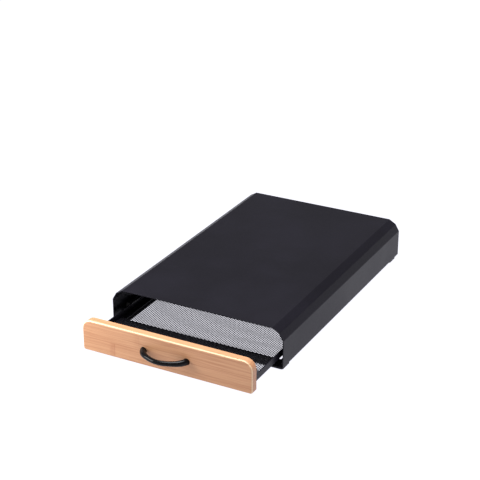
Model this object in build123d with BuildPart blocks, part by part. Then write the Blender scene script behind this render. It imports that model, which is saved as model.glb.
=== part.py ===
from build123d import *
from math import cos, hypot, radians, sin
import os

# Pod drawer: a low folded-steel case that a machine stands on, and a mesh tray
# with a bamboo front that slides out of its mouth.
# Frame: X across, Y from the handle to the back, Z up. The origin is on the
# resting surface, midway between the handle's bow and the back of the case.
# The drawer is drawn partly open, as it usually stands. All sizes in mm.

# ---------------------------------------------------------------- driving sizes
case_width = 260.0
case_depth = 396.0
case_height = 56.5  # the folded sheet alone, without bars and feet
case_sheet = 1.2
case_bend = 1.3  # inner radius of the case's bends
corner_reach = 16.3  # the long corners take this much off the top and the sides
corner_slope = 30.0  # of a corner's upper facet; the lower one mirrors it
return_width = 13.0  # flanges that turn in under the case
pan_lip = 8.0  # flange folded round the back panel
weld_gap = 0.1  # between sheets that are welded together

bar_width = 22.0  # ties across the underside, front and back
bar_thickness = 1.5
bar_inset = 1.0  # bar ends from the case's sides
bar_corner = 3.0

foot_thickness = 2.2
foot_radius = 7.0
foot_taper = 0.5  # how much narrower a foot is where it rests
foot_rivet_gap = 1.1  # foot to the rivet head beside it

rivet_radius = 2.0
rivet_head_radius = 3.4
rivet_crown_radius = 2.2
rivet_head_height = 1.0
rivet_tail_radius = 2.7
rivet_tail_height = 0.45
rivet_inset = 5.0  # rivet centres from the case's sides
pin_gap = 0.05  # round a rivet or a screw, on the radius

panel_thickness = 12.0  # bamboo front
panel_top_gap = 8.3  # to the underside of the deck
panel_side_gap = 2.55  # to the inside of the case's sides
panel_floor_gap = 0.8  # to the case's return flanges
panel_bottom_radius = 3.5
panel_front_round = 2.2
panel_back_bevel = 0.8

drawer_open = 79.5  # from closed to the drawn position

tray_gauge = 1.0
tray_bend = 0.8
tray_side_gap = 6.8  # tray side to the inside of the case
rail_height = 10.4
rail_base = 8.6  # underside of the rails above the return flanges
rail_flange = 9.0
front_web_height = 26.0
cheek_length = 15.0  # stretch where each side rises to the front web
cheek_round = 5.0

mesh_thickness = 0.8
mesh_edge_gap = 0.4
mesh_border = 3.0
mesh_columns = 13
mesh_rows = 12
mesh_strand = 1.4

runner_gauge = 1.0
runner_bend = 0.6
runner_cheek_gap = 3.0  # front end of the runners behind the closed tray's cheeks
runner_shelf_lap = 6.0  # how far the runner's lower leg reaches under the tray
runner_top_gap = 1.5  # its upper leg to the tray's side
runner_play = 1.5  # tray rail to the runner's legs
tongue_setback = 100.0  # stop tongue behind the mouth
tongue_tip_gap = 1.2  # its tip to the tray's side
tongue_height = 8.0

running_gap = 0.3  # between sliding faces
glide_side_gap = 0.5
glide_lip = 5.0  # part of a glide that reaches under the rail
front_glide_length = 20.0
front_glide_hook = 2.0  # part of the front glide that reaches over the rail
rear_glide_length = 14.0
rear_glide_setback = 4.5  # from the tray's back end
glide_round = 1.5
stud_radius = 1.8  # snap stud under the front glide
stud_head_radius = 2.6
stud_head_height = 1.2
glide_rivet_radius = 1.5
glide_rivet_depth = 3.5
glide_rivet_head_radius = 2.6
glide_rivet_head_height = 0.8

bumper_thickness = 4.0
bumper_radius = 5.0
bumper_taper = 0.8  # how much narrower a bumper is where the tray meets it
bumper_offset = 90.0

handle_pitch = 64.0
handle_bow = 19.0  # centreline ahead of the panel
handle_mid_radius = 3.3
handle_foot_radius = 4.7
handle_taper = 2.4  # how late the bow thickens towards its feet
handle_sections = 8
handle_squareness = 0.7  # how far the feet run straight out before they bend

screw_radius = 2.0
screw_head_radius = 4.0
screw_head_height = 2.6
screw_bite = 5.5  # length of thread inside the handle
screw_end_gap = 0.5  # bore past the end of the screw
washer_radius = 5.0
washer_thickness = 0.8
head_rim = 0.45  # straight part of a screw head's edge
head_crown = 0.68  # flat top of a screw head

wood_screw_radius = 1.5
wood_screw_head_radius = 3.4
wood_screw_head_height = 1.8
wood_screw_length = 9.0
wood_screw_rise = 7.0  # above the underside of the rails
wood_screw_offsets = (-98.0, -62.0, 62.0, 98.0)

# ------------------------------------------------------------- derived positions
overall_length = case_depth + drawer_open + handle_bow + handle_mid_radius
case_back = overall_length / 2
mouth = case_back - case_depth  # front edge of the case
base = foot_thickness + bar_thickness  # underside of the case
half_width = case_width / 2
inner_half = half_width - case_sheet
flange_top = base + case_sheet
case_top = base + case_height
outer_bend = case_bend + case_sheet
return_edge = half_width - return_width
# Each long corner is folded three times, with two flat facets between the folds.
facet = corner_reach / (cos(radians(corner_slope)) + sin(radians(corner_slope)))
knee_inset = facet * sin(radians(corner_slope))
right_outline = [
    (half_width - corner_reach, case_top),
    (half_width - knee_inset, case_top - knee_inset),
    (half_width, case_top - corner_reach),
    (half_width, base),
]
case_outline = [(-x, z) for x, z in reversed(right_outline)] + right_outline

bar_centres = {
    "front": mouth + bar_width / 2,
    "rear": case_back - pan_lip - bar_width / 2,
}
rivet_spots = {
    end: [(side * (half_width - rivet_inset), bar_y) for side in (-1, 1)]
    for end, bar_y in bar_centres.items()
}
all_rivet_spots = rivet_spots["front"] + rivet_spots["rear"]
foot_inset = rivet_inset + rivet_head_radius + foot_rivet_gap + foot_radius

panel_front = mouth - drawer_open
panel_back = panel_front + panel_thickness
panel_half = inner_half - panel_side_gap
panel_bottom = flange_top + panel_floor_gap
panel_height = case_top - case_sheet - panel_top_gap - panel_bottom
panel_middle = panel_bottom + panel_height / 2
panel_top_radius = corner_reach - panel_side_gap  # follows the case's corners

back_face = case_back - case_sheet  # inner face of the back panel
tray_end = back_face - bumper_thickness - running_gap - drawer_open
tray_half = inner_half - tray_side_gap  # outer face of the tray's sides
tray_inner = tray_half - tray_gauge
rail_bottom = flange_top + rail_base
rail_top = rail_bottom + rail_height
rail_middle = (rail_bottom + rail_top) / 2
web_top = rail_bottom + front_web_height
web_face = panel_back + tray_gauge  # side of the front web that faces the pods
flange_edge = tray_half - rail_flange
tray_outer_bend = tray_bend + tray_gauge
mesh_bottom = rail_bottom + tray_gauge
mesh_front = panel_back + tray_outer_bend + mesh_edge_gap
mesh_back = tray_end - tray_outer_bend - mesh_edge_gap
mesh_half = tray_inner - tray_bend - mesh_edge_gap

shelf_top = rail_bottom - runner_play
runner_ceiling = rail_top + runner_play
runner_front = mouth + panel_thickness + cheek_length + runner_cheek_gap
runner_back = case_back - pan_lip - running_gap
runner_face = inner_half - runner_gauge  # inner face of the runner's web
runner_lip = tray_half + runner_top_gap  # free edge of the runner's upper leg
shelf_edge = tray_half - runner_shelf_lap
glide_edge = tray_half - glide_lip
tongue_front = mouth + tongue_setback
tongue_reach = runner_face - tray_half - tongue_tip_gap
rear_glide_back = tray_end - rear_glide_setback
rear_glide_front = rear_glide_back - rear_glide_length
rear_glide_middle = (rear_glide_front + rear_glide_back) / 2
screw_centres = (-handle_pitch / 2, handle_pitch / 2)

closing_travel = drawer_open
opening_travel = rear_glide_front - (tongue_front + runner_gauge + running_gap)
print(f"drawer slides in by {closing_travel:.2f} and out by {opening_travel:.2f}")
print(f"case from y {mouth:.2f} to {case_back:.2f}, deck at z {case_top:.2f}")

os.makedirs("parts", exist_ok=True)


def finish(piece, label):
    """Label a finished piece and write it."""
    piece.label = label
    export_step(piece, f"parts/{label}.step")


def finish_pair(right, name):
    """Write a right-hand piece and its mirror image on the left."""
    with BuildPart() as left:
        mirror(right, about=Plane.YZ)
    finish(left.part, f"{name}_left")
    finish(right, f"{name}_right")


# -------------------------------------------------------------------- case body
# One sheet: a return flange, a side, a folded corner, the deck, and back down.
with BuildPart() as case_shell:
    with BuildSketch(Plane.XZ.offset(-mouth)):
        with BuildLine():
            FilletPolyline(
                (-return_edge, base),
                *case_outline,
                (return_edge, base),
                radius=outer_bend,
            )
            offset(amount=case_sheet, side=Side.RIGHT)
        make_face()
    extrude(amount=-case_depth)
    with Locations(*[(x, y, flange_top) for x, y in all_rivet_spots]):
        Hole(rivet_radius + pin_gap, depth=case_sheet)
finish(case_shell.part, "case_shell")

# A pan welded into the back of the case, its lip turned forwards.
with BuildPart() as back_panel:
    with BuildSketch(Plane.XZ.offset(-case_back)) as pan_outline:
        Polygon(*case_outline, align=None)
        offset(amount=-(case_sheet + weld_gap), kind=Kind.INTERSECTION)
        fillet(pan_outline.vertices(), radius=outer_bend)
    extrude(amount=pan_lip)
    fillet(back_panel.faces().sort_by(Axis.Y)[-1].edges(), radius=outer_bend)
    offset(amount=-case_sheet, openings=back_panel.faces().sort_by(Axis.Y)[0])
finish(back_panel.part, "back_panel")

# Ties riveted across the underside keep the sides from spreading.
for end, bar_y in bar_centres.items():
    with BuildPart() as cross_bar:
        with BuildSketch(Plane.XY.offset(foot_thickness)):
            with Locations((0, bar_y)):
                RectangleRounded(case_width - 2 * bar_inset, bar_width, bar_corner)
            with Locations(*rivet_spots[end]):
                Circle(rivet_radius + pin_gap, mode=Mode.SUBTRACT)
        extrude(amount=bar_thickness)
    finish(cross_bar.part, f"{end}_cross_bar")

grip = bar_thickness + case_sheet
with BuildPart() as rivet:
    with BuildSketch(Plane.XZ):
        Polygon(
            (0, -rivet_head_height),
            (0, grip + rivet_tail_height),
            (rivet_tail_radius, grip + rivet_tail_height),
            (rivet_tail_radius, grip),
            (rivet_radius, grip),
            (rivet_radius, 0),
            (rivet_head_radius, 0),
            (rivet_crown_radius, -rivet_head_height),
            align=None,
        )
    revolve(axis=Axis.Z)
with BuildPart() as cross_bar_rivets:
    with Locations(*[(x, y, foot_thickness) for x, y in all_rivet_spots]):
        add(rivet.part)
finish(cross_bar_rivets.part, "cross_bar_rivets")

for end, foot_y in bar_centres.items():
    with BuildPart() as foot:
        with Locations((half_width - foot_inset, foot_y, 0)):
            Cone(
                foot_radius - foot_taper,
                foot_radius,
                foot_thickness,
                align=(Align.CENTER, Align.CENTER, Align.MIN),
            )
    finish_pair(foot.part, f"{end}_foot")

# Runner: a channel welded to the side, with a stop tongue lanced out of its web.
with BuildPart() as runner:
    with BuildSketch(Plane.XZ.offset(-runner_front)):
        with BuildLine():
            FilletPolyline(
                (shelf_edge, shelf_top - runner_gauge),
                (inner_half, shelf_top - runner_gauge),
                (inner_half, runner_ceiling + runner_gauge),
                (runner_lip, runner_ceiling + runner_gauge),
                radius=runner_bend + runner_gauge,
            )
            offset(amount=runner_gauge, side=Side.LEFT)
        make_face()
    extrude(amount=-(runner_back - runner_front))
    with BuildSketch(Plane.YZ.offset(runner_face)):
        with Locations((tongue_front - tongue_reach / 2, rail_middle)):
            Rectangle(tongue_reach, tongue_height)
    extrude(amount=runner_gauge, mode=Mode.SUBTRACT)
    with BuildSketch(Plane.YZ.offset(runner_face)):
        with Locations((tongue_front + runner_gauge / 2, rail_middle)):
            Rectangle(runner_gauge, tongue_height)
    extrude(amount=-tongue_reach)
    with Locations((glide_edge + stud_head_radius, runner_front + front_glide_length / 2, shelf_top)):
        Hole(stud_radius + pin_gap, depth=runner_gauge)
finish_pair(runner.part, "runner")

# Nylon guide at the runner's mouth: it carries the rail and hooks over it.
with BuildPart() as front_glide:
    with BuildSketch(Plane.XZ.offset(-runner_front)):
        with BuildLine():
            Polyline(
                (glide_edge, shelf_top),
                (runner_face, shelf_top),
                (runner_face, runner_ceiling),
                (tray_inner - front_glide_hook, runner_ceiling),
                (tray_inner - front_glide_hook, rail_top + running_gap),
                (tray_half + glide_side_gap, rail_top + running_gap),
                (tray_half + glide_side_gap, rail_bottom - running_gap),
                (glide_edge, rail_bottom - running_gap),
                close=True,
            )
        make_face()
    extrude(amount=-front_glide_length)
    outer_edges = front_glide.faces().sort_by(Axis.X)[-1].edges()
    fillet(outer_edges.filter_by(Axis.Y), radius=runner_bend + weld_gap)
    with Locations((glide_edge + stud_head_radius, runner_front + front_glide_length / 2)):
        with Locations((0, 0, shelf_top)):
            Cylinder(
                stud_radius,
                runner_gauge,
                align=(Align.CENTER, Align.CENTER, Align.MAX),
            )
        with Locations((0, 0, shelf_top - runner_gauge)):
            Cone(
                stud_radius,
                stud_head_radius,
                stud_head_height,
                align=(Align.CENTER, Align.CENTER, Align.MAX),
            )
finish_pair(front_glide.part, "front_glide")

with BuildPart() as bumper:
    with Locations(Plane((bumper_offset, back_face, rail_middle), z_dir=(0, -1, 0))):
        Cone(
            bumper_radius,
            bumper_radius - bumper_taper,
            bumper_thickness,
            align=(Align.CENTER, Align.CENTER, Align.MIN),
        )
finish_pair(bumper.part, "bumper")

# ------------------------------------------------------------------ drawer body
# Side rail: an angle whose web rises to the front like a cheek.
with BuildPart() as tray_side:
    with BuildSketch(Plane.XZ.offset(-panel_back)):
        with BuildLine():
            FilletPolyline(
                (flange_edge, rail_bottom),
                (tray_half, rail_bottom),
                (tray_half, rail_top),
                radius=tray_outer_bend,
            )
            offset(amount=tray_gauge, side=Side.LEFT)
        make_face()
    extrude(amount=-(tray_end - panel_back))
    with BuildSketch(Plane.YZ.offset(tray_inner)) as cheek:
        with BuildLine():
            Polyline(
                (panel_back, rail_middle),
                (panel_back + 2 * cheek_length, rail_middle),
                (panel_back + 2 * cheek_length, rail_top),
                (panel_back + cheek_length, rail_top),
                (panel_back, web_top),
                close=True,
            )
        make_face()
        knee = cheek.vertices().sort_by_distance((panel_back + cheek_length, rail_top))[0]
        fillet(knee, radius=cheek_round)
    extrude(amount=tray_gauge)
    # The flange and its bend stop short of the front and back members.
    notch = tray_gauge + weld_gap
    for notch_y in (panel_back + notch / 2, tray_end - notch / 2):
        with Locations((flange_edge, notch_y, rail_bottom)):
            Box(
                2 * (rail_flange - tray_gauge),
                notch,
                2 * tray_outer_bend,
                mode=Mode.SUBTRACT,
            )
    with Locations(Plane((tray_half, rear_glide_middle, rail_middle), z_dir=(1, 0, 0))):
        Hole(glide_rivet_radius + pin_gap, depth=tray_gauge)
finish_pair(tray_side.part, "tray_side")


def cross_member(face_y, inwards, top):
    """An angle across the tray: a web at face_y, and a flange that points inwards."""
    side = Side.RIGHT if inwards > 0 else Side.LEFT
    with BuildPart() as member:
        with BuildSketch(Plane.YZ.offset(-(tray_inner - weld_gap))):
            with BuildLine():
                FilletPolyline(
                    (face_y + inwards * rail_flange, rail_bottom),
                    (face_y, rail_bottom),
                    (face_y, top),
                    radius=tray_outer_bend,
                )
                offset(amount=tray_gauge, side=side)
            make_face()
        extrude(amount=2 * (tray_inner - weld_gap))
        # The flange fits between the flanges of the two sides.
        for end in (-1, 1):
            with Locations(
                (end * tray_half, face_y + inwards * (tray_gauge + rail_flange), rail_bottom)
            ):
                Box(
                    2 * (rail_flange + weld_gap),
                    2 * rail_flange,
                    2 * tray_outer_bend,
                    mode=Mode.SUBTRACT,
                )
    return member.part


with BuildPart() as tray_front:
    add(cross_member(panel_back, 1, web_top))
    with Locations(
        *[Plane((x, web_face, panel_middle), z_dir=(0, 1, 0)) for x in screw_centres]
    ):
        Hole(screw_radius + pin_gap, depth=tray_gauge)
    with Locations(
        *[
            Plane((x, web_face, rail_bottom + wood_screw_rise), z_dir=(0, 1, 0))
            for x in wood_screw_offsets
        ]
    ):
        Hole(wood_screw_radius + pin_gap, depth=tray_gauge)
finish(tray_front.part, "tray_front")

with BuildPart() as tray_back:
    add(cross_member(tray_end, -1, rail_top))
finish(tray_back.part, "tray_back")

# Floor of diamond mesh, laid on the flanges. Every other row is staggered.
mesh_width = 2 * mesh_half
mesh_length = mesh_back - mesh_front
cell_x = (mesh_width - 2 * mesh_border) / mesh_columns
cell_y = (mesh_length - 2 * mesh_border) / mesh_rows
cell_inradius = cell_x * cell_y / (2 * hypot(cell_x, cell_y))
shrink = 1 - mesh_strand / (2 * cell_inradius)
hole_x = shrink * cell_x / 2
hole_y = shrink * cell_y / 2
with BuildPart() as mesh_floor:
    with BuildSketch(Plane.XY.offset(mesh_bottom)):
        with Locations((0, (mesh_front + mesh_back) / 2)):
            Rectangle(mesh_width, mesh_length)
            for columns, rows in (
                (mesh_columns, mesh_rows),
                (mesh_columns - 1, mesh_rows - 1),
            ):
                with GridLocations(cell_x, cell_y, columns, rows):
                    Polygon(
                        (hole_x, 0),
                        (0, hole_y),
                        (-hole_x, 0),
                        (0, -hole_y),
                        mode=Mode.SUBTRACT,
                    )
    extrude(amount=mesh_thickness)
finish(mesh_floor.part, "mesh_floor")

# Nylon block at the back of each rail: it rides in the runner and meets the tongue.
with BuildPart() as rear_glide:
    with BuildSketch(Plane.XZ.offset(-rear_glide_front)):
        with BuildLine():
            Polyline(
                (glide_edge, shelf_top + running_gap),
                (runner_face - glide_side_gap, shelf_top + running_gap),
                (runner_face - glide_side_gap, runner_ceiling - running_gap),
                (tray_half, runner_ceiling - running_gap),
                (tray_half, rail_bottom),
                (glide_edge, rail_bottom),
                close=True,
            )
        make_face()
    extrude(amount=-rear_glide_length)
    outer_edges = rear_glide.faces().sort_by(Axis.X)[-1].edges()
    fillet(outer_edges.filter_by(Axis.Z), radius=glide_round)
    with Locations(Plane((tray_half, rear_glide_middle, rail_middle), z_dir=(-1, 0, 0))):
        Hole(glide_rivet_radius + pin_gap, depth=glide_rivet_depth)
finish_pair(rear_glide.part, "rear_glide")

with BuildPart() as glide_rivets:
    for side in (-1, 1):
        with BuildSketch(
            Plane((side * tray_inner, rear_glide_middle, rail_middle), z_dir=(side, 0, 0))
        ):
            Circle(glide_rivet_radius)
        extrude(amount=tray_gauge + glide_rivet_depth)
        with BuildSketch(
            Plane((side * tray_inner, rear_glide_middle, rail_middle), z_dir=(-side, 0, 0))
        ):
            Circle(glide_rivet_head_radius)
        extrude(amount=glide_rivet_head_height)
finish(glide_rivets.part, "glide_rivets")

# Bamboo front, its upper corners round to clear the case's folded corners.
with BuildPart() as front_panel:
    with BuildSketch(Plane.XZ.offset(-panel_back)) as panel_outline:
        with Locations((0, panel_middle)):
            Rectangle(2 * panel_half, panel_height)
        fillet(panel_outline.vertices().group_by(Axis.Y)[-1], radius=panel_top_radius)
        fillet(panel_outline.vertices().group_by(Axis.Y)[0], radius=panel_bottom_radius)
    extrude(amount=panel_thickness)
    fillet(front_panel.faces().sort_by(Axis.Y)[0].edges(), radius=panel_front_round)
    chamfer(front_panel.faces().sort_by(Axis.Y)[-1].edges(), length=panel_back_bevel)
    with Locations(
        *[Plane((x, panel_back, panel_middle), z_dir=(0, 1, 0)) for x in screw_centres]
    ):
        Hole(screw_radius + pin_gap, depth=panel_thickness)
    with Locations(
        *[
            Plane((x, panel_back, rail_bottom + wood_screw_rise), z_dir=(0, 1, 0))
            for x in wood_screw_offsets
        ]
    ):
        Hole(wood_screw_radius + pin_gap, depth=wood_screw_length)
finish(front_panel.part, "front_panel")

# Bow handle: round bar that leaves the panel squarely and thickens at its feet.
with BuildLine() as bow:
    Spline(
        (-handle_pitch / 2, panel_front, panel_middle),
        (0, panel_front - handle_bow, panel_middle),
        (handle_pitch / 2, panel_front, panel_middle),
        tangents=[(0, -1, 0), (1, 0, 0), (0, 1, 0)],
        tangent_scalars=[handle_squareness, 1, handle_squareness],
    )
with BuildPart() as handle:
    for index in range(handle_sections + 1):
        along = index / handle_sections
        swell = abs(2 * along - 1) ** handle_taper
        section_radius = handle_mid_radius + swell * (handle_foot_radius - handle_mid_radius)
        section = Plane(bow.line @ along, x_dir=(0, 0, 1), z_dir=bow.line % along)
        with BuildSketch(section):
            Circle(section_radius)
    loft()
    with Locations(
        *[Plane((x, panel_front, panel_middle), z_dir=(0, 1, 0)) for x in screw_centres]
    ):
        Hole(screw_radius + pin_gap, depth=screw_bite + screw_end_gap)
finish(handle.part, "handle")

with BuildPart() as handle_washers:
    for x in screw_centres:
        with BuildSketch(Plane((x, web_face, panel_middle), z_dir=(0, 1, 0))):
            Circle(washer_radius)
            Circle(screw_radius + pin_gap, mode=Mode.SUBTRACT)
        extrude(amount=washer_thickness)
finish(handle_washers.part, "handle_washers")


def pan_head_screw(radius, length, head_radius, head_height):
    """A pan-head screw: its head is on +Z and seats at z = 0."""
    with BuildPart() as screw:
        with BuildSketch(Plane.XZ):
            Polygon(
                (0, head_height),
                (0, -length),
                (radius, -length),
                (radius, 0),
                (head_radius, 0),
                (head_radius, head_height * head_rim),
                (head_radius * head_crown, head_height),
                align=None,
            )
        revolve(axis=Axis.Z)
    return screw.part


handle_screw = pan_head_screw(
    screw_radius,
    washer_thickness + tray_gauge + panel_thickness + screw_bite,
    screw_head_radius,
    screw_head_height,
)
with BuildPart() as handle_screws:
    with Locations(
        *[
            Plane((x, web_face + washer_thickness, panel_middle), z_dir=(0, 1, 0))
            for x in screw_centres
        ]
    ):
        add(handle_screw)
finish(handle_screws.part, "handle_screws")

wood_screw = pan_head_screw(
    wood_screw_radius,
    wood_screw_length,
    wood_screw_head_radius,
    wood_screw_head_height,
)
with BuildPart() as panel_screws:
    with Locations(
        *[
            Plane((x, web_face, rail_bottom + wood_screw_rise), z_dir=(0, 1, 0))
            for x in wood_screw_offsets
        ]
    ):
        add(wood_screw)
finish(panel_screws.part, "panel_screws")
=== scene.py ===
"""Looks for the pod drawer: its finishes, fine mesh floor, fasteners and stage.

The file is laid out as a Blender add-on and is run as a script. Lengths are in
metres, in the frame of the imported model: X across, Y from the handle to the
back of the case, Z up, with the origin on the resting surface.
"""

from math import atan2, cos, pi, radians, sin
import bpy
from bpy.props import FloatProperty, FloatVectorProperty, PointerProperty
from bpy.types import Operator, Panel, PropertyGroup
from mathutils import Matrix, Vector


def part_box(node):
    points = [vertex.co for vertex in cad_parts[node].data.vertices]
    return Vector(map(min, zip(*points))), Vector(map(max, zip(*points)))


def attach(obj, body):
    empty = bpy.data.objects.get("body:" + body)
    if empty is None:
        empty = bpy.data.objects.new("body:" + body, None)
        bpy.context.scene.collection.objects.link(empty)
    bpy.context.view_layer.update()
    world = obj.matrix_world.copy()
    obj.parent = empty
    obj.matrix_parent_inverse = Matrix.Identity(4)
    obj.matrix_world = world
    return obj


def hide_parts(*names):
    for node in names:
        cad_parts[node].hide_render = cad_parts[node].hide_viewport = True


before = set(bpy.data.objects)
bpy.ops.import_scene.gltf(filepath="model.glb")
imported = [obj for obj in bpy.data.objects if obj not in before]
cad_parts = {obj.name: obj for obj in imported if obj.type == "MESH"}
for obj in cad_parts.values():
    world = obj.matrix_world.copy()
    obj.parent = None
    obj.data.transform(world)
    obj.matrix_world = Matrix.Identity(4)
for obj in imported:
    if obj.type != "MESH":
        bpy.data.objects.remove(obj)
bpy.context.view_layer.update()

bl_info = {
    "name": "Pod drawer",
    "version": (1, 0, 0),
    "blender": (4, 5, 0),
    "location": "View3D > Sidebar > Pod drawer",
    "description": "Dresses the packed pod drawer and sets its stage",
    "category": "Object",
}

MM = 0.001

# Elevations, in degrees, between which each band of the surroundings fades.
SWEEP_FADE = (2.5, 5.0)
HORIZON_FADE = (5.0, 16.0)
CANOPY_FADE = (28.0, 37.0)

SENSOR_WIDTH = 36.0

# The fasteners' sizes that the box of their CAD node doesn't give.
PANEL_SCREW_PITCH = 36 * MM
TIE_RIVET_HEAD = 3.4 * MM
TIE_RIVET_SHANK = 2.0 * MM
TIE_RIVET_TAIL = 2.7 * MM
TIE_HEAD_HEIGHT = 1.0 * MM
TIE_TAIL_HEIGHT = 0.45 * MM
GLIDE_RIVET_HEAD = 2.6 * MM
GLIDE_RIVET_SHANK = 1.5 * MM
GLIDE_RIVET_GRIP = 4.5 * MM
GLIDE_HEAD_HEIGHT = 0.8 * MM


# ------------------------------------------------------------ shader expressions
class Signal:
    """One value of a material's nodes. Arithmetic on it adds Math nodes."""

    def __init__(self, finish, socket):
        self.finish = finish
        self.socket = socket

    def math(self, operation, *values):
        return self.finish.node("ShaderNodeMath", {"operation": operation}, values)

    def __add__(self, other):
        return self.math("ADD", self, other)

    __radd__ = __add__

    def __sub__(self, other):
        return self.math("SUBTRACT", self, other)

    def __rsub__(self, other):
        return self.math("SUBTRACT", other, self)

    def __mul__(self, other):
        return self.math("MULTIPLY", self, other)

    __rmul__ = __mul__

    def __truediv__(self, other):
        return self.math("DIVIDE", self, other)

    def __rtruediv__(self, other):
        return self.math("DIVIDE", other, self)

    def __abs__(self):
        return self.math("ABSOLUTE", self)

    def whole(self):
        return self.math("FLOOR", self)

    def larger(self, other):
        return self.math("MAXIMUM", self, other)

    def ramp(self, low, high):
        """0 below low and 1 above high, with a smooth rise between them."""
        return self.finish.node(
            "ShaderNodeMapRange",
            {"interpolation_type": "SMOOTHSTEP", "clamp": True},
            (self, low, high, 0.0, 1.0),
        )

    def fall(self, near, far):
        """1 below near and 0 above far."""
        return self.finish.node(
            "ShaderNodeMapRange",
            {"interpolation_type": "SMOOTHSTEP", "clamp": True},
            (self, near, far, 1.0, 0.0),
        )


class Finish:
    """The nodes of a material or of the studio's surroundings."""

    def __init__(self, owner, constants, shader="Principled BSDF"):
        owner.use_nodes = True
        self.owner = owner
        self.tree = owner.node_tree
        self.shader = self.tree.nodes[shader]
        for socket, value in constants.items():
            self.shader.inputs[socket].default_value = value

    def node(self, kind, settings, inputs=(), output=0):
        """Add a node: its settings come first, then the values or links of its sockets."""
        node = self.tree.nodes.new(kind)
        for key, value in settings.items():
            setattr(node, key, value)
        pairs = inputs.items() if isinstance(inputs, dict) else enumerate(inputs)
        for key, value in pairs:
            if isinstance(value, Signal):
                self.tree.links.new(value.socket, node.inputs[key])
            else:
                node.inputs[key].default_value = value
        return Signal(self, node.outputs[output])

    def place(self):
        """Where a point is on the object at rest."""
        return self.node("ShaderNodeTexCoord", {}, output="Object")

    def axes(self, vector):
        split = self.node("ShaderNodeSeparateXYZ", {}, (vector,))
        outputs = split.socket.node.outputs
        return [Signal(self, outputs[index]) for index in range(3)]

    def vector(self, x, y, z):
        return self.node("ShaderNodeCombineXYZ", {}, (x, y, z))

    def noise(self, vector, scale, detail=2.0, roughness=0.5, distortion=0.0):
        return self.node(
            "ShaderNodeTexNoise",
            {"noise_dimensions": "3D"},
            {
                "Vector": vector,
                "Scale": scale,
                "Detail": detail,
                "Roughness": roughness,
                "Distortion": distortion,
            },
        )

    def chance(self, seed):
        """One random number for each whole value of seed."""
        return self.node("ShaderNodeTexWhiteNoise", {"noise_dimensions": "1D"}, {"W": seed})

    def mix(self, factor, first, second):
        """Blend two colours."""
        first, second = [
            (*colour, 1.0) if not isinstance(colour, Signal) and len(colour) == 3 else colour
            for colour in (first, second)
        ]
        return self.node(
            "ShaderNodeMix",
            {"data_type": "RGBA", "clamp_factor": True},
            {0: factor, 6: first, 7: second},
            output=2,
        )

    def softened(self, radius):
        """The surface normal, rounded where faces meet at an edge."""
        return self.node("ShaderNodeBevel", {"samples": 4}, {"Radius": radius})

    def edge(self, radius):
        """How near a point is to an edge: 0 on flat faces, above 0.1 at square corners."""
        facing = self.node("ShaderNodeNewGeometry", {}, output="Normal")
        alike = self.node(
            "ShaderNodeVectorMath",
            {"operation": "DOT_PRODUCT"},
            (self.softened(radius), facing),
            output="Value",
        )
        return 1.0 - alike

    def feed(self, socket, signal):
        self.tree.links.new(signal.socket, self.shader.inputs[socket])

    def relief(self, height, depth, normal=None):
        """Bump the surface by height, where 1 stands depth metres proud."""
        inputs = {"Strength": 1.0, "Distance": depth, "Height": height}
        if normal:
            inputs["Normal"] = normal
        self.feed("Normal", self.node("ShaderNodeBump", {}, inputs))


def new_finish(name, **constants):
    """Start a material. Underscores in the names of its sockets stand for spaces."""
    sockets = {name.replace("_", " "): value for name, value in constants.items()}
    return Finish(bpy.data.materials.new(name), sockets)


# ---------------------------------------------------------------- mesh making
def new_piece(name, vertices, faces, material, body, sharp_above=radians(40)):
    """Make a mesh in the row frame and let it ride on a body of the frame."""
    mesh = bpy.data.meshes.new(name)
    mesh.from_pydata(vertices, [], faces)
    mesh.polygons.foreach_set("use_smooth", [True] * len(mesh.polygons))
    mesh.set_sharp_from_angle(angle=sharp_above)
    mesh.validate()
    piece = bpy.data.objects.new(name, mesh)
    bpy.context.scene.collection.objects.link(piece)
    mesh.materials.append(material)
    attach(piece, body)
    return piece


def paint(nodes, material):
    """Give carried-over CAD nodes a better material on their own slots."""
    for name in nodes:
        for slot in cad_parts[name].material_slots:
            slot.material = material


def clip_to(polygon, axis, limit, sign):
    """The part of a flat polygon on one side of a line across X or Y."""
    kept = []
    for index, point in enumerate(polygon):
        before = polygon[index - 1]
        inside = sign * (point[axis] - limit) <= 0
        was_inside = sign * (before[axis] - limit) <= 0
        if inside != was_inside:
            share = (limit - before[axis]) / (point[axis] - before[axis])
            kept.append(tuple(b + share * (p - b) for b, p in zip(before, point)))
        if inside:
            kept.append(point)
    return kept


def add_prism(vertices, faces, outline, low, high):
    """Add a closed prism over a flat outline that runs anticlockwise."""
    start, count = len(vertices), len(outline)
    vertices += [(x, y, low) for x, y in outline]
    vertices += [(x, y, high) for x, y in outline]
    faces.append([start + index for index in reversed(range(count))])
    faces.append([start + count + index for index in range(count)])
    for index in range(count):
        after = (index + 1) % count
        faces.append(
            [start + index, start + after, start + count + after, start + count + index]
        )


def add_turned(vertices, faces, seat, direction, rings, angles):
    """Add a closed turned form on a seat, from the first of its rings to the last.

    A ring is a height along the direction and a radius, or a function that gives
    the radius at each angle.
    """
    along = Vector(direction).normalized()
    across = along.orthogonal().normalized()
    beside = along.cross(across)
    start, count = len(vertices), len(angles)
    for height, radius in rings:
        for angle in angles:
            reach = radius(angle) if callable(radius) else radius
            turn = cos(angle) * across + sin(angle) * beside
            vertices.append(tuple(Vector(seat) + height * along + reach * turn))
    faces.append([start + index for index in reversed(range(count))])
    last = start + (len(rings) - 1) * count
    faces.append([last + index for index in range(count)])
    for ring in range(len(rings) - 1):
        near, far = start + ring * count, start + (ring + 1) * count
        for index in range(count):
            after = (index + 1) % count
            faces.append([near + index, near + after, far + after, far + index])


def round_angles(count):
    return [2 * pi * index / count for index in range(count)]


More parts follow.
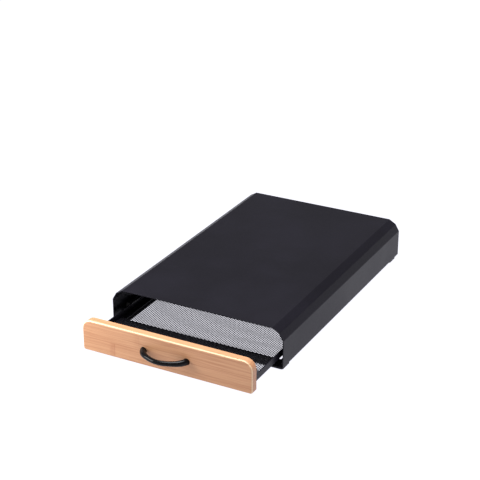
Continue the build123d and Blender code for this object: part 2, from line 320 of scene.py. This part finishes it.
def dome(radius, height, rings=5, low=0.0):
    """Rings of a shallow dome, from its rim at height low to its top."""
    steps = [pi / 2 * index / rings for index in range(rings)]
    return [(low + height * sin(step), radius * cos(step)) for step in steps] + [
        (low + height, 0.12 * radius)
    ]


# ------------------------------------------------------------------- properties
class DRAWER_PG_stage(PropertyGroup):
    """Camera, lights and floor."""

    azimuth: FloatProperty(
        name="Camera azimuth",
        description="Angle of the camera round the drawer from straight in front of it",
        default=radians(27.96),
        subtype="ANGLE",
    )
    elevation: FloatProperty(
        name="Camera elevation",
        description="Angle of the camera above the horizon",
        default=radians(24.31),
        subtype="ANGLE",
    )
    distance: FloatProperty(
        name="Camera distance",
        description="From the point that the camera aims at",
        default=1.93959,
        unit="LENGTH",
    )
    aim: FloatVectorProperty(
        name="Aim",
        description="Point that the camera aims at",
        default=(-0.039436, 0.0529, 0.071189),
        subtype="TRANSLATION",
        unit="LENGTH",
    )
    lens: FloatProperty(
        name="Focal length",
        description="In millimetres, for a sensor 36 mm wide",
        default=100.51,
        min=1.0,
    )
    floor_colour: FloatVectorProperty(
        name="Floor colour",
        description="Colour of the pale table top",
        default=(0.04, 0.04, 0.04),
        subtype="COLOR",
        min=0.0,
        max=1.0,
    )
    floor_glow: FloatProperty(
        name="Floor glow",
        description="Light that comes through the table top from below",
        default=1.0,
        min=0.0,
    )
    floor_radius: FloatProperty(
        name="Floor radius",
        description="How far the table top reaches",
        default=8.0,
        unit="LENGTH",
    )
    horizon_light: FloatProperty(
        name="Horizon light",
        description="Strength of the surroundings low above the white sweep",
        default=0.3,
        min=0.0,
    )
    sky_light: FloatProperty(
        name="Sky light",
        description="Strength of the dim studio above the horizon",
        default=0.245,
        min=0.0,
    )
    canopy_light: FloatProperty(
        name="Canopy light",
        description="Strength of the studio's ceiling",
        default=0.37,
        min=0.0,
    )
    overhead_power: FloatProperty(
        name="Overhead softbox",
        description="Power of the softbox above the drawer, in watts",
        default=68.0,
        min=0.0,
    )
    key_power: FloatProperty(
        name="Key softbox",
        description="Power of the softbox to the left, in watts",
        default=1.4,
        min=0.0,
    )


class DRAWER_PG_coat(PropertyGroup):
    """Powder coat of the case and the tray."""

    colour: FloatVectorProperty(
        name="Coat colour",
        description="Colour of the powder coat",
        default=(0.0045, 0.004, 0.0068),
        subtype="COLOR",
        min=0.0,
        max=1.0,
    )
    # Paler colour at the coat's edges: partly wear, partly a painted highlight where light
    # catches them.
    wear_and_highlight_colour: FloatVectorProperty(
        name="Rubbed colour",
        description="Colour of the coat where hands and the tray rub it",
        default=(0.05, 0.05, 0.054),
        subtype="COLOR",
        min=0.0,
        max=1.0,
    )
    roughness: FloatProperty(
        name="Coat roughness",
        description="Roughness of the satin coat",
        default=0.38,
        min=0.0,
        max=1.0,
    )
    grain: FloatProperty(
        name="Coat grain",
        description="Size of the coat's fine texture",
        default=0.9 * MM,
        unit="LENGTH",
    )
    edge_radius: FloatProperty(
        name="Edge radius",
        description="How far the coat rounds and thins at the edges of the sheet",
        default=0.45 * MM,
        unit="LENGTH",
    )


class DRAWER_PG_bamboo(PropertyGroup):
    """Bamboo of the front panel."""

    light_colour: FloatVectorProperty(
        name="Light colour",
        description="Colour of the pale fibres",
        default=(0.61, 0.322, 0.164),
        subtype="COLOR",
        min=0.0,
        max=1.0,
    )
    dark_colour: FloatVectorProperty(
        name="Dark colour",
        description="Colour of the dark fibres",
        default=(0.465, 0.212, 0.097),
        subtype="COLOR",
        min=0.0,
        max=1.0,
    )
    knot_colour: FloatVectorProperty(
        name="Knot colour",
        description="Colour of the lines where the cane had a knot",
        default=(0.40, 0.155, 0.07),
        subtype="COLOR",
        min=0.0,
        max=1.0,
    )
    # Colour of the painted highlight on the arrises.
    wear_and_highlight_colour: FloatVectorProperty(
        name="Rubbed colour",
        description="Colour of the arrises, which sanding and hands leave pale",
        default=(0.88, 0.66, 0.42),
        subtype="COLOR",
        min=0.0,
        max=1.0,
    )
    strip_height: FloatProperty(
        name="Strip height",
        description="Height of one glued strip of cane",
        default=20.3 * MM,
        unit="LENGTH",
    )
    strip_start: FloatProperty(
        name="Strip joint height",
        description="Height of a joint between two strips above the table",
        default=26.8 * MM,
        unit="LENGTH",
    )


class DRAWER_PG_mesh(PropertyGroup):
    """Diamond mesh of the tray's floor."""

    cell_across: FloatProperty(
        name="Cell across",
        description="Pitch of the diamonds across the tray",
        default=5.95 * MM,
        unit="LENGTH",
    )
    cell_along: FloatProperty(
        name="Cell along",
        description="Pitch of the diamonds along the tray",
        default=3.66 * MM,
        unit="LENGTH",
    )
    strand: FloatProperty(
        name="Strand width",
        description="Width of one strand of the mesh",
        default=0.70 * MM,
        unit="LENGTH",
    )
    sheet: FloatProperty(
        name="Strand thickness",
        description="Thickness of the sheet that the mesh was cut from",
        default=0.4 * MM,
        unit="LENGTH",
    )


PROPERTY_GROUPS = {
    "drawer_stage": DRAWER_PG_stage,
    "drawer_coat": DRAWER_PG_coat,
    "drawer_bamboo": DRAWER_PG_bamboo,
    "drawer_mesh": DRAWER_PG_mesh,
}


# --------------------------------------------------------------------- finishes
def powder_coat(name, look, shade=1.0):
    """Satin powder coat: a fine orange peel, faint hand marks, and thin edges made paler,
    partly as wear and partly as a painted highlight.
    """
    finish = new_finish(name, IOR=1.24, Specular_Tint=(0.92, 0.9, 1.0, 1.0))
    place = finish.place()
    peel = finish.noise(place, 1 / (3 * look.grain), detail=1.0)
    grain = finish.noise(place, 1 / look.grain, detail=2.0)
    haze = finish.noise(place, 11.0, detail=4.0, roughness=0.6).ramp(0.35, 0.75)
    patches = finish.noise(place, 150.0, detail=3.0).ramp(0.4, 0.65)
    # Painted highlight and wear: the edges of the sheet are made paler.
    edge_wear_and_highlight = finish.edge(look.edge_radius).ramp(0.03, 0.2) * (0.35 + 0.65 * patches)
    colour = tuple(shade * part for part in look.colour)
    pale = tuple(2.0 * part for part in colour)
    coated = finish.mix(0.5 * haze + 0.35 * grain, colour, pale)
    finish.feed("Base Color", finish.mix(0.75 * edge_wear_and_highlight, coated, tuple(look.wear_and_highlight_colour)))
    finish.feed("Roughness", look.roughness - 0.04 + 0.07 * haze + 0.06 * grain)
    finish.relief(0.7 * peel + 0.3 * grain, 0.07 * MM, finish.softened(look.edge_radius))
    return finish.owner


def bamboo_board(look):
    """Strips of cane glued side by side, their fibres running across the panel."""
    finish = new_finish("bamboo", IOR=1.45, Coat_Roughness=0.22, Coat_Weight=0.3)
    x, y, z = finish.axes(finish.place())
    strip = ((z - look.strip_start) / look.strip_height).whole()
    tone = finish.chance(strip + 7.0)
    shifted = x + 0.37 * tone
    sway = finish.noise(finish.vector(16 * shifted, 0.0, 45 * z), 1.0, detail=1.0)
    level = z + 5.0 * MM * sway
    streaks = finish.noise(
        finish.vector(6 * shifted, 380 * y, 380 * level), 1.0, detail=5.0, roughness=0.7
    )
    fibres = finish.noise(
        finish.vector(26 * shifted, 1500 * y, 1500 * level), 1.0, detail=2.0, roughness=0.5
    )
    clouds = finish.noise(finish.vector(6 * x, 20 * y, 30 * z), 1.0, detail=2.0)
    darkness = (
        0.9 * streaks.ramp(0.38, 0.72) + 0.45 * fibres.ramp(0.42, 0.72) + 0.25 * (tone - 0.5)
    )
    colour = finish.mix(
        darkness + 0.5 * (clouds - 0.4), tuple(look.light_colour), tuple(look.dark_colour)
    )
    # Where the cane had a knot, the fibres bunch up beside a thin scar across the strip.
    waver = finish.noise(finish.vector(0.0, 90 * y, 70 * z), 1.0, detail=2.0) - 0.5
    bunched = finish.noise(finish.vector(900 * x, 60 * y, 120 * z), 1.0, detail=2.0)
    knot_masks = []
    for knot_x, low, high, reach, strength in (
        (-79.5 * MM, 8.0 * MM, 26.6 * MM, 4.6 * MM, 1.1),
        (-42.0 * MM, 30.0 * MM, 47.5 * MM, 5.0 * MM, 0.4),
    ):
        away = abs(x - knot_x + 6.0 * MM * waver)
        band = away.fall(0.1 * reach, 1.4 * reach) * (0.15 + 0.7 * bunched)
        from_scar = abs(x - knot_x - 0.6 * reach + 3.0 * MM * waver)
        scar = from_scar.fall(0.1 * MM, 1.0 * MM)
        above = z.ramp(low - 3.0 * MM, low + 4.0 * MM)
        below = z.fall(high - 2.0 * MM, high + 0.6 * MM)
        within = above * below
        knot_masks.append(strength * (0.8 * band + 0.45 * scar) * within)
    knots = sum(knot_masks[1:], knot_masks[0])
    colour = finish.mix(knots, colour, tuple(look.knot_colour))
    # The ends of the board show the cut ends of the fibres, which soak up the oil, and their
    # darkening is partly painted shade on the end faces.
    facing = finish.axes(finish.node("ShaderNodeTexCoord", {}, output="Normal"))
    sideways = abs(facing[0])
    pores = finish.noise(finish.vector(60 * x, 1100 * y, 1100 * z), 1.0, detail=2.0)
    end_grain_and_shade = sideways.ramp(0.55, 0.9) * (0.5 + 0.5 * pores.ramp(0.4, 0.65))
    colour = finish.mix(0.6 * end_grain_and_shade, colour, tuple(look.knot_colour))
    # Painted highlight: the rounded arrises are made pale where light would catch them.
    slanted = abs(facing[1])
    arris = slanted.ramp(0.1, 0.35) * slanted.fall(0.8, 0.98)
    arris_highlight = arris * (0.6 + 0.8 * clouds)
    colour = finish.mix(0.8 * arris_highlight, colour, tuple(look.wear_and_highlight_colour))
    # The glue line between two strips.
    into_strip = (z - look.strip_start) / look.strip_height - strip
    joint = into_strip.fall(0.0, 0.03).larger(into_strip.ramp(0.97, 1.0))
    colour = finish.mix(0.55 * joint, colour, tuple(look.knot_colour))
    finish.feed("Base Color", colour)
    finish.feed("Roughness", 0.42 + 0.16 * streaks)
    finish.relief(
        0.6 * fibres + 0.4 * streaks - 0.6 * joint, 0.05 * MM, finish.softened(0.5 * MM)
    )
    return finish.owner


def enamel():
    """Black enamel of the handle, a little dulled by hands."""
    finish = new_finish("handle_enamel", IOR=1.18, Coat_Weight=0.12, Coat_Roughness=0.06)
    place = finish.place()
    dust = finish.noise(place, 90.0, detail=5.0, roughness=0.65).ramp(0.45, 0.8)
    ripple = finish.noise(place, 320.0, detail=1.0)
    finish.feed("Base Color", finish.mix(dust, (0.0025, 0.0025, 0.003), (0.006, 0.006, 0.007)))
    finish.feed("Roughness", 0.2 + 0.12 * dust)
    finish.relief(ripple, 0.02 * MM)
    return finish.owner


def rubber():
    """Matte rubber that has picked up a little dust."""
    finish = new_finish("foot_rubber", IOR=1.5)
    place = finish.place()
    grain = finish.noise(place, 1600.0, detail=3.0)
    dust = finish.noise(place, 60.0, detail=3.0).ramp(0.4, 0.8)
    finish.feed("Base Color", finish.mix(dust, (0.02, 0.02, 0.02), (0.045, 0.043, 0.04)))
    finish.feed("Roughness", 0.75 + 0.15 * grain)
    finish.relief(grain, 0.06 * MM)
    return finish.owner


def nylon():
    """Moulded black nylon, polished in streaks where the rail slides."""
    finish = new_finish("glide_nylon", IOR=1.53)
    x, y, z = finish.axes(finish.place())
    grain = finish.noise(finish.vector(x, y, z), 900.0, detail=2.0)
    streaks = finish.noise(finish.vector(700 * x, 25 * y, 700 * z), 1.0, detail=3.0)
    wear = streaks.ramp(0.45, 0.75)
    finish.feed("Base Color", finish.mix(wear, (0.025, 0.025, 0.026), (0.06, 0.06, 0.06)))
    finish.feed("Roughness", 0.55 - 0.25 * wear)
    finish.relief(grain + 0.6 * wear, 0.03 * MM, finish.softened(0.3 * MM))
    return finish.owner


def bright_steel(name, colour, roughness):
    """Plated steel with a cloudy, faintly scratched surface."""
    finish = new_finish(name, Metallic=1.0)
    place = finish.place()
    clouds = finish.noise(place, 260.0, detail=3.0)
    scratches = finish.noise(place, 1900.0, detail=2.0, distortion=1.5)
    darker = tuple(0.7 * part for part in colour)
    finish.feed("Base Color", finish.mix(clouds, colour, darker))
    finish.feed("Roughness", roughness + 0.2 * scratches)
    finish.relief(scratches, 0.02 * MM)
    return finish.owner


# -------------------------------------------------------------------- operators
class DRAWER_OT_stage(Operator):
    """Lay the pale floor and set up the lights and the camera"""

    bl_idname = "drawer.stage"
    bl_label = "Stage"

    def execute(self, context):
        look = context.scene.drawer_stage
        self.lay_floor(look)
        self.light_surroundings(look)
        self.set_softboxes(look)
        self.set_camera(look)
        return {"FINISHED"}

    def lay_floor(self, look):
        ring = [
            (look.floor_radius * cos(angle), look.floor_radius * sin(angle), -0.2 * MM)
            for angle in round_angles(64)
        ]
        mesh = bpy.data.meshes.new("table_top")
        mesh.from_pydata(ring, [], [list(range(len(ring)))])
        table_top = bpy.data.objects.new("table_top", mesh)
        bpy.context.scene.collection.objects.link(table_top)
        finish = new_finish(
            "table_top",
            Base_Color=(*look.floor_colour, 1.0),
            Roughness=0.9,
            Specular_IOR_Level=0.1,
            Emission_Color=(1.0, 0.995, 1.09, 1.0),
            Emission_Strength=look.floor_glow,
        )
        mesh.materials.append(finish.owner)

    def light_surroundings(self, look):
        """White where the sweep meets the table and dim above it, as in a dark studio."""
        scene = bpy.context.scene
        scene.view_settings.view_transform = "Standard"
        scene.world = bpy.data.worlds.new("studio")
        studio = Finish(scene.world, {"Color": (1.0, 1.0, 1.0, 1.0)}, "Background")
        upward = studio.axes(studio.node("ShaderNodeTexCoord", {}, output="Generated"))[2]

        def between(fade):
            return [sin(radians(elevation)) for elevation in fade]

        sweep = upward.fall(*between(SWEEP_FADE))
        low = upward.fall(*between(HORIZON_FADE))
        high = upward.ramp(*between(CANOPY_FADE))
        dim = look.sky_light + (look.horizon_light - look.sky_light) * low
        dim = dim + (look.canopy_light - look.sky_light) * high
        studio.feed("Strength", dim + (1.0 - look.horizon_light) * sweep)

    def set_softboxes(self, look):
        for name, place, size, power in (
            ("overhead_softbox", (-0.1, 0.0, 2.0), 1.2, look.overhead_power),
            ("key_softbox", (-0.32, -0.4, 0.18), 0.18, look.key_power),
        ):
            lamp = bpy.data.lights.new(name, "AREA")
            lamp.shape = "SQUARE"
            lamp.size = size
            lamp.energy = power
            softbox = bpy.data.objects.new(name, lamp)
            softbox.location = place
            aim = Vector((0.0, 0.0, 0.03)) - Vector(place)
            softbox.rotation_euler = aim.to_track_quat("-Z", "Y").to_euler()
            bpy.context.scene.collection.objects.link(softbox)

    def set_camera(self, look):
        lens = bpy.data.cameras.new("camera")
        lens.sensor_fit = "HORIZONTAL"
        lens.sensor_width = SENSOR_WIDTH
        lens.lens = look.lens
        lens.clip_end = 50.0
        camera = bpy.data.objects.new("camera", lens)
        back = Vector(
            (
                sin(look.azimuth) * cos(look.elevation),
                -cos(look.azimuth) * cos(look.elevation),
                sin(look.elevation),
            )
        )
        camera.location = Vector(look.aim) + look.distance * back
        camera.rotation_euler = (-back).to_track_quat("-Z", "Y").to_euler()
        bpy.context.scene.collection.objects.link(camera)
        bpy.context.scene.camera = camera


class DRAWER_OT_case(Operator):
    """Powder coat the case, its back, ties and runners"""

    bl_idname = "drawer.case"
    bl_label = "Case"

    def execute(self, context):
        coat = powder_coat("case_coat", context.scene.drawer_coat)
        paint(
            (
                "case_shell",
                "back_panel",
                "front_cross_bar",
                "rear_cross_bar",
                "runner_left",
                "runner_right",
            ),
            coat,
        )
        return {"FINISHED"}


class DRAWER_OT_tray(Operator):
    """Powder coat the rails and members of the tray"""

    bl_idname = "drawer.tray"
    bl_label = "Tray"

    def execute(self, context):
        coat = powder_coat("tray_coat", context.scene.drawer_coat, shade=1.6)
        paint(("tray_side_left", "tray_side_right", "tray_front", "tray_back"), coat)
        return {"FINISHED"}


class DRAWER_OT_mesh_floor(Operator):
    """Build the fine diamond mesh that stands for the tray's floor"""

    bl_idname = "drawer.mesh_floor"
    bl_label = "Mesh floor"

    def execute(self, context):
        look = context.scene.drawer_mesh
        low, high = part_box("mesh_floor")
        edges = [(0, low.x, -1), (0, high.x, 1), (1, low.y, -1), (1, high.y, 1)]
        across, along = look.cell_across, look.cell_along
        slope = Vector((across, along)).normalized()
        centre = (low + high) / 2
        reach = (high - low).length
        bands = int((high.x - low.x) / across + (high.y - low.y) / along) // 2 + 1
        vertices, faces = [], []
        for family in (-1, 1):
            run = Vector((family * slope.x, slope.y))
            beside = Vector((run.y, -run.x)) * look.strand / 2
            base = low.z + (0.05 * MM if family > 0 else 0.0)
            for band in range(-bands, bands + 1):
                middle = Vector((centre.x + band * across, centre.y))
                outline = [
                    middle + reach * run + beside,
                    middle + reach * run - beside,
                    middle - reach * run - beside,
                    middle - reach * run + beside,
                ]
                outline = [tuple(point) for point in outline]
                for axis, limit, sign in edges:
                    outline = clip_to(outline, axis, limit, sign)
                if len(outline) > 2:
                    add_prism(vertices, faces, outline[::-1], base, base + look.sheet)
        finish = powder_coat("mesh_coat", context.scene.drawer_coat, shade=0.6)
        piece = new_piece("fine_mesh", vertices, faces, finish, "drawer")
        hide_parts("mesh_floor")
        return {"FINISHED"}


class DRAWER_OT_front_panel(Operator):
    """Give the front panel its bamboo"""

    bl_idname = "drawer.front_panel"
    bl_label = "Front panel"

    def execute(self, context):
        paint(("front_panel",), bamboo_board(context.scene.drawer_bamboo))
        return {"FINISHED"}


class DRAWER_OT_handle(Operator):
    """Enamel the bow handle"""

    bl_idname = "drawer.handle"
    bl_label = "Handle"

    def execute(self, context):
        paint(("handle",), enamel())
        return {"FINISHED"}


class DRAWER_OT_fasteners(Operator):
    """Turn the screws, with their cross recesses, and the domed rivets"""

    bl_idname = "drawer.fasteners"
    bl_label = "Fasteners"

    def execute(self, context):
        plated = bright_steel("screw_steel", (0.62, 0.61, 0.58), 0.25)
        blackened = bright_steel("rivet_steel", (0.07, 0.07, 0.075), 0.35)
        paint(("handle_washers",), plated)
        self.drive_screws("handle_screws", 2, 2.0 * MM, 4.0 * MM, 2.6 * MM, plated)
        self.drive_screws("panel_screws", 4, 1.5 * MM, 3.4 * MM, 1.8 * MM, plated)
        self.set_rivets(blackened)
        return {"FINISHED"}

    def drive_screws(self, node, count, shank, head, head_height, material):
        """Pan-head screws in the places of the CAD ones, their heads towards the back."""
        low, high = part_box(node)
        spread = (high.x - low.x - 2 * head) / 2
        if count == 2:
            places = [-spread, spread]
        else:
            inner = spread - PANEL_SCREW_PITCH
            places = [-spread, -inner, inner, spread]
        middle_z = (low.z + high.z) / 2
        arm, width = 0.56 * head, 0.13 * head

        def cross(scale):
            """Radius of a plus-shaped recess at an angle from one of its arms."""

            def radius(angle):
                side, up = abs(cos(angle)), abs(sin(angle))
                to_end = arm / max(side, up)
                to_side = width / max(min(side, up), 0.001)
                return scale * min(to_end, to_side)

            return radius

        corner = atan2(width, arm)
        quarter = [0.0, corner, radians(28), radians(45), radians(62), pi / 2 - corner]
        angles = [turn * pi / 2 + angle for turn in range(4) for angle in quarter]
        seat_y = high.y - head_height
        rings = [
            (low.y - seat_y, 0.6 * shank),
            (low.y - seat_y + 0.6 * shank, shank),
            (0.0, shank),
            (0.0, 0.97 * head),
            (0.1 * head_height, head),
            (0.4 * head_height, head),
            (0.62 * head_height, 0.96 * head),
            (0.82 * head_height, 0.86 * head),
            (0.95 * head_height, 0.72 * head),
            (head_height, 0.6 * head),
            (head_height, cross(1.0)),
            (0.35 * head_height, cross(0.7)),
        ]
        vertices, faces = [], []
        for x in places:
            add_turned(vertices, faces, (x, seat_y, middle_z), (0, 1, 0), rings, angles)
        piece = new_piece(
            f"{node}_turned", vertices, faces, material, "drawer", radians(34)
        )
        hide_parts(node)

    def set_rivets(self, material):
        low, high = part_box("cross_bar_rivets")
        grip = high.z - low.z - TIE_HEAD_HEIGHT - TIE_TAIL_HEIGHT
        head_rings = dome(TIE_RIVET_HEAD, TIE_HEAD_HEIGHT)
        rings = [(-height, radius) for height, radius in reversed(head_rings)]
        rings += [
            (0.0, TIE_RIVET_SHANK),
            (grip, TIE_RIVET_SHANK),
            (grip, TIE_RIVET_TAIL),
            (grip + 0.25 * MM, 2.5 * MM),
            (grip + TIE_TAIL_HEIGHT, 1.8 * MM),
        ]
        vertices, faces = [], []
        for x in (low.x + TIE_RIVET_HEAD, high.x - TIE_RIVET_HEAD):
            for y in (low.y + TIE_RIVET_HEAD, high.y - TIE_RIVET_HEAD):
                seat = (x, y, low.z + TIE_HEAD_HEIGHT)
                add_turned(vertices, faces, seat, (0, 0, 1), rings, round_angles(28))
        piece = new_piece("domed_tie_rivets", vertices, faces, material, "case")
        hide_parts("cross_bar_rivets")

        low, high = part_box("glide_rivets")
        middle = (low + high) / 2
        rings = [
            (0.0, 1.2 * MM),
            (0.2 * MM, GLIDE_RIVET_SHANK),
            (GLIDE_RIVET_GRIP, GLIDE_RIVET_SHANK),
        ]
        rings += dome(GLIDE_RIVET_HEAD, GLIDE_HEAD_HEIGHT, low=GLIDE_RIVET_GRIP)
        vertices, faces = [], []
        for side in (-1, 1):
            seat = (side * high.x, middle.y, middle.z)
            add_turned(vertices, faces, seat, (-side, 0, 0), rings, round_angles(24))
        piece = new_piece(
            "domed_glide_rivets", vertices, faces, material, "drawer"
        )
        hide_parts("glide_rivets")


class DRAWER_OT_rubber(Operator):
    """Mould the rubber feet and the bumpers"""

    bl_idname = "drawer.rubber"
    bl_label = "Feet and bumpers"

    def execute(self, context):
        material = rubber()
        for end in ("front", "rear"):
            for side in ("left", "right"):
                self.mould_foot(f"{end}_foot_{side}", material)
        for side in ("left", "right"):
            self.mould_bumper(f"bumper_{side}", material)
        return {"FINISHED"}

    def mould_foot(self, node, material):
        """A disc with a rounded tread and a shallow cup in its sole."""
        low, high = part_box(node)
        radius, thickness = (high.x - low.x) / 2, high.z - low.z
        rings = [
            (0.5 * MM, 0.8 * MM),
            (0.45 * MM, 3.1 * MM),
            (0.0, 3.6 * MM),
            (0.0, radius - 1.2 * MM),
            (0.12 * MM, radius - 0.75 * MM),
            (0.45 * MM, radius - 0.5 * MM),
            (0.9 * MM, radius - 0.35 * MM),
            (thickness, radius),
        ]
        vertices, faces = [], []
        seat = ((low.x + high.x) / 2, (low.y + high.y) / 2, low.z)
        add_turned(vertices, faces, seat, (0, 0, 1), rings, round_angles(40))
        piece = new_piece(f"{node}_moulded", vertices, faces, material, "case")
        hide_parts(node)

    def mould_bumper(self, node, material):
        """A button with a rounded face."""
        low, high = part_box(node)
        radius, thickness = (high.x - low.x) / 2, high.y - low.y
        rings = [(0.0, radius), (0.5 * thickness, 0.95 * radius)]
        rings += dome(0.92 * radius, 0.4 * thickness, low=0.6 * thickness)
        vertices, faces = [], []
        seat = ((low.x + high.x) / 2, high.y, (low.z + high.z) / 2)
        add_turned(vertices, faces, seat, (0, -1, 0), rings, round_angles(32))
        piece = new_piece(f"{node}_moulded", vertices, faces, material, "case")
        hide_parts(node)


class DRAWER_OT_glides(Operator):
    """Give the glides their nylon"""

    bl_idname = "drawer.glides"
    bl_label = "Glides"

    def execute(self, context):
        paint(
            ("front_glide_left", "front_glide_right", "rear_glide_left", "rear_glide_right"),
            nylon(),
        )
        return {"FINISHED"}


class DRAWER_PT_panel(Panel):
    """Lists the steps that dress the drawer"""

    bl_idname = "DRAWER_PT_panel"
    bl_label = "Pod drawer"
    bl_space_type = "VIEW_3D"
    bl_region_type = "UI"
    bl_category = "Pod drawer"

    def draw(self, context):
        for step in STEPS:
            self.layout.operator(step.bl_idname)


STEPS = (
    DRAWER_OT_stage,
    DRAWER_OT_case,
    DRAWER_OT_tray,
    DRAWER_OT_mesh_floor,
    DRAWER_OT_front_panel,
    DRAWER_OT_handle,
    DRAWER_OT_fasteners,
    DRAWER_OT_rubber,
    DRAWER_OT_glides,
)


def register():
    for group in (*PROPERTY_GROUPS.values(), *STEPS, DRAWER_PT_panel):
        bpy.utils.register_class(group)
    for name, group in PROPERTY_GROUPS.items():
        setattr(bpy.types.Scene, name, PointerProperty(type=group))


def unregister():
    for name in PROPERTY_GROUPS:
        delattr(bpy.types.Scene, name)
    for group in (DRAWER_PT_panel, *reversed(STEPS), *PROPERTY_GROUPS.values()):
        bpy.utils.unregister_class(group)


def main():
    register()
    for step in STEPS:
        family, verb = step.bl_idname.split(".")
        getattr(getattr(bpy.ops, family), verb)()


if __name__ == "__main__":
    main()
